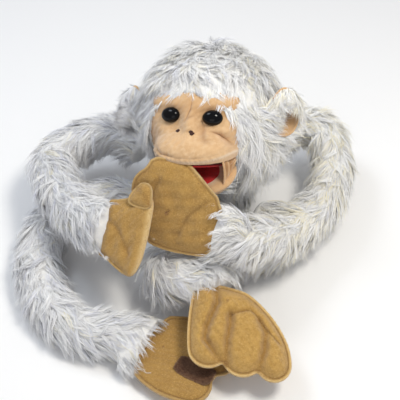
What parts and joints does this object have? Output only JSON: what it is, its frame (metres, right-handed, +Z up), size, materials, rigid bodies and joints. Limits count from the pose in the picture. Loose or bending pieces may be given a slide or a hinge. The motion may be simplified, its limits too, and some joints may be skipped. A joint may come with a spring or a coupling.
{
  "type": "moving mouth hand puppet",
  "caption": "Long-limbed white furry monkey hand puppet sitting slumped with its hands folded under a face that looks up, with a hand-worked mouth.",
  "frame": {"origin": "middle of the flat seat under the torso", "axes": "+Z up out of the seat, -Y towards the front where the hands and feet lie, +X towards the puppet's left side"},
  "size_m": [0.405, 0.3849, 0.2378],
  "materials": {
    "white_fur": "long-pile faux fur",
    "tan_felt": "soft brushed felt",
    "face_velour": "short velour",
    "red_felt": "flat felt",
    "stuffing": "loose polyester fibre",
    "foam": "soft foam",
    "card": "stiffened backing",
    "lining_cloth": "plain woven lining",
    "black_plastic": "polished",
    "brown_thread": "satin-stitched thread",
    "brown_hook_tape": "worn hook-and-loop"
  },
  "bodies": {
    "torso": {"torso_cover": "white_fur", "hand_opening_hem": "lining_cloth"},
    "neck": {"neck_band": "lining_cloth"},
    "head": {"head_cover": "white_fur", "head_foam": "foam", "face_panel": "face_velour", "face_padding": "stuffing", "upper_mouth_lining": "red_felt", "upper_mouth_board": "card", "finger_pocket": "lining_cloth", "left_eye": "black_plastic", "right_eye": "black_plastic", "left_eye_washer": "black_plastic", "right_eye_washer": "black_plastic", "left_nostril": "brown_thread", "right_nostril": "brown_thread", "left_ear_back": "white_fur", "left_ear_lining": "face_velour", "right_ear_back": "white_fur", "right_ear_lining": "face_velour"},
    "jaw": {"jaw_cover": "face_velour", "jaw_padding": "stuffing", "lower_mouth_board": "card", "lower_mouth_lining": "red_felt", "thumb_pocket": "lining_cloth"},
    "left_upper_arm": {"left_upper_arm_sleeve": "white_fur", "left_upper_arm_filling": "stuffing"},
    "left_forearm": {"left_forearm_sleeve": "white_fur", "left_forearm_filling": "stuffing"},
    "left_hand": {"left_hand_palm": "tan_felt", "left_hand_back": "tan_felt"},
    "left_thigh": {"left_thigh_sleeve": "white_fur", "left_thigh_filling": "stuffing"},
    "left_shin": {"left_shin_sleeve": "white_fur", "left_shin_filling": "stuffing"},
    "left_foot": {"left_foot_upper": "tan_felt", "left_foot_sole": "tan_felt", "left_foot_filling": "stuffing", "left_foot_fastener": "brown_hook_tape"},
    "right_upper_arm": {"right_upper_arm_sleeve": "white_fur", "right_upper_arm_filling": "stuffing"},
    "right_forearm": {"right_forearm_sleeve": "white_fur", "right_forearm_filling": "stuffing"},
    "right_hand": {"right_hand_palm": "tan_felt", "right_hand_back": "tan_felt"},
    "right_thigh": {"right_thigh_sleeve": "white_fur", "right_thigh_filling": "stuffing"},
    "right_shin": {"right_shin_sleeve": "white_fur", "right_shin_filling": "stuffing"},
    "right_foot": {"right_foot_upper": "tan_felt", "right_foot_sole": "tan_felt", "right_foot_filling": "stuffing", "right_foot_fastener": "brown_hook_tape"}
  },
  "joints": [
    {"name": "neck_turn", "type": "hinge", "parent": "torso", "child": "neck", "pos_m": [0.006, -0.006, 0.16], "axis": [0.06, -0.2599, 0.9638], "range_deg": [-4, 8]},
    {"name": "head_nod", "type": "hinge", "parent": "neck", "child": "head", "pos_m": [0.006, -0.006, 0.16], "axis": [0.9563, -0.2305, 0.1801], "range_deg": [-3, 6]},
    {"name": "jaw_hinge", "type": "hinge", "parent": "head", "child": "jaw", "pos_m": [-0.00743, -0.07145, 0.14768], "axis": [0.9563, -0.2305, 0.1801], "range_deg": [-40, 8]},
    {"name": "left_shoulder", "type": "hinge", "parent": "torso", "child": "left_upper_arm", "pos_m": [0.076, 0.028, 0.062], "axis": [0, 0, 1], "range_deg": [0, 20]},
    {"name": "left_elbow", "type": "hinge", "parent": "left_upper_arm", "child": "left_forearm", "pos_m": [0.142, -0.054, 0.056], "axis": [-0.4899, -0.6998, 0.5199], "range_deg": [0, 8]},
    {"name": "left_wrist", "type": "hinge", "parent": "left_forearm", "child": "left_hand", "pos_m": [0.024, -0.146, 0.112], "axis": [-0.2743, -0.833, 0.4806], "range_deg": [0, 15]},
    {"name": "right_shoulder", "type": "hinge", "parent": "torso", "child": "right_upper_arm", "pos_m": [-0.076, 0.026, 0.064], "axis": [0, 0, 1], "range_deg": [-20, 0]},
    {"name": "right_elbow", "type": "hinge", "parent": "right_upper_arm", "child": "right_forearm", "pos_m": [-0.192, 0.014, 0.066], "axis": [0, 0, 1], "range_deg": [-20, 0]},
    {"name": "right_wrist", "type": "hinge", "parent": "right_forearm", "child": "right_hand", "pos_m": [-0.126, -0.122, 0.105], "axis": [0.2081, 0.6693, 0.7133], "range_deg": [-25, 0]},
    {"name": "left_hip", "type": "hinge", "parent": "torso", "child": "left_thigh", "pos_m": [0.062, -0.042, 0.024], "axis": [0, 0, 1], "range_deg": [0, 10]},
    {"name": "left_knee", "type": "hinge", "parent": "left_thigh", "child": "left_shin", "pos_m": [-0.022, -0.116, 0.032], "axis": [0, 0, 1], "range_deg": [0, 10]},
    {"name": "left_ankle", "type": "hinge", "parent": "left_shin", "child": "left_foot", "pos_m": [0.004, -0.164, 0.062], "axis": [1, 0, 0], "range_deg": [-25, 0]},
    {"name": "right_hip", "type": "hinge", "parent": "torso", "child": "right_thigh", "pos_m": [-0.074, -0.03, 0.024], "axis": [0, 0, 1], "range_deg": [-15, 0]},
    {"name": "right_knee", "type": "hinge", "parent": "right_thigh", "child": "right_shin", "pos_m": [-0.188, -0.16, 0.024], "axis": [0, 0, 1], "range_deg": [-20, 0]},
    {"name": "right_ankle", "type": "hinge", "parent": "right_shin", "child": "right_foot", "pos_m": [-0.088, -0.223, 0.024], "axis": [0, 0, 1], "range_deg": [-20, 0]}
  ]
}
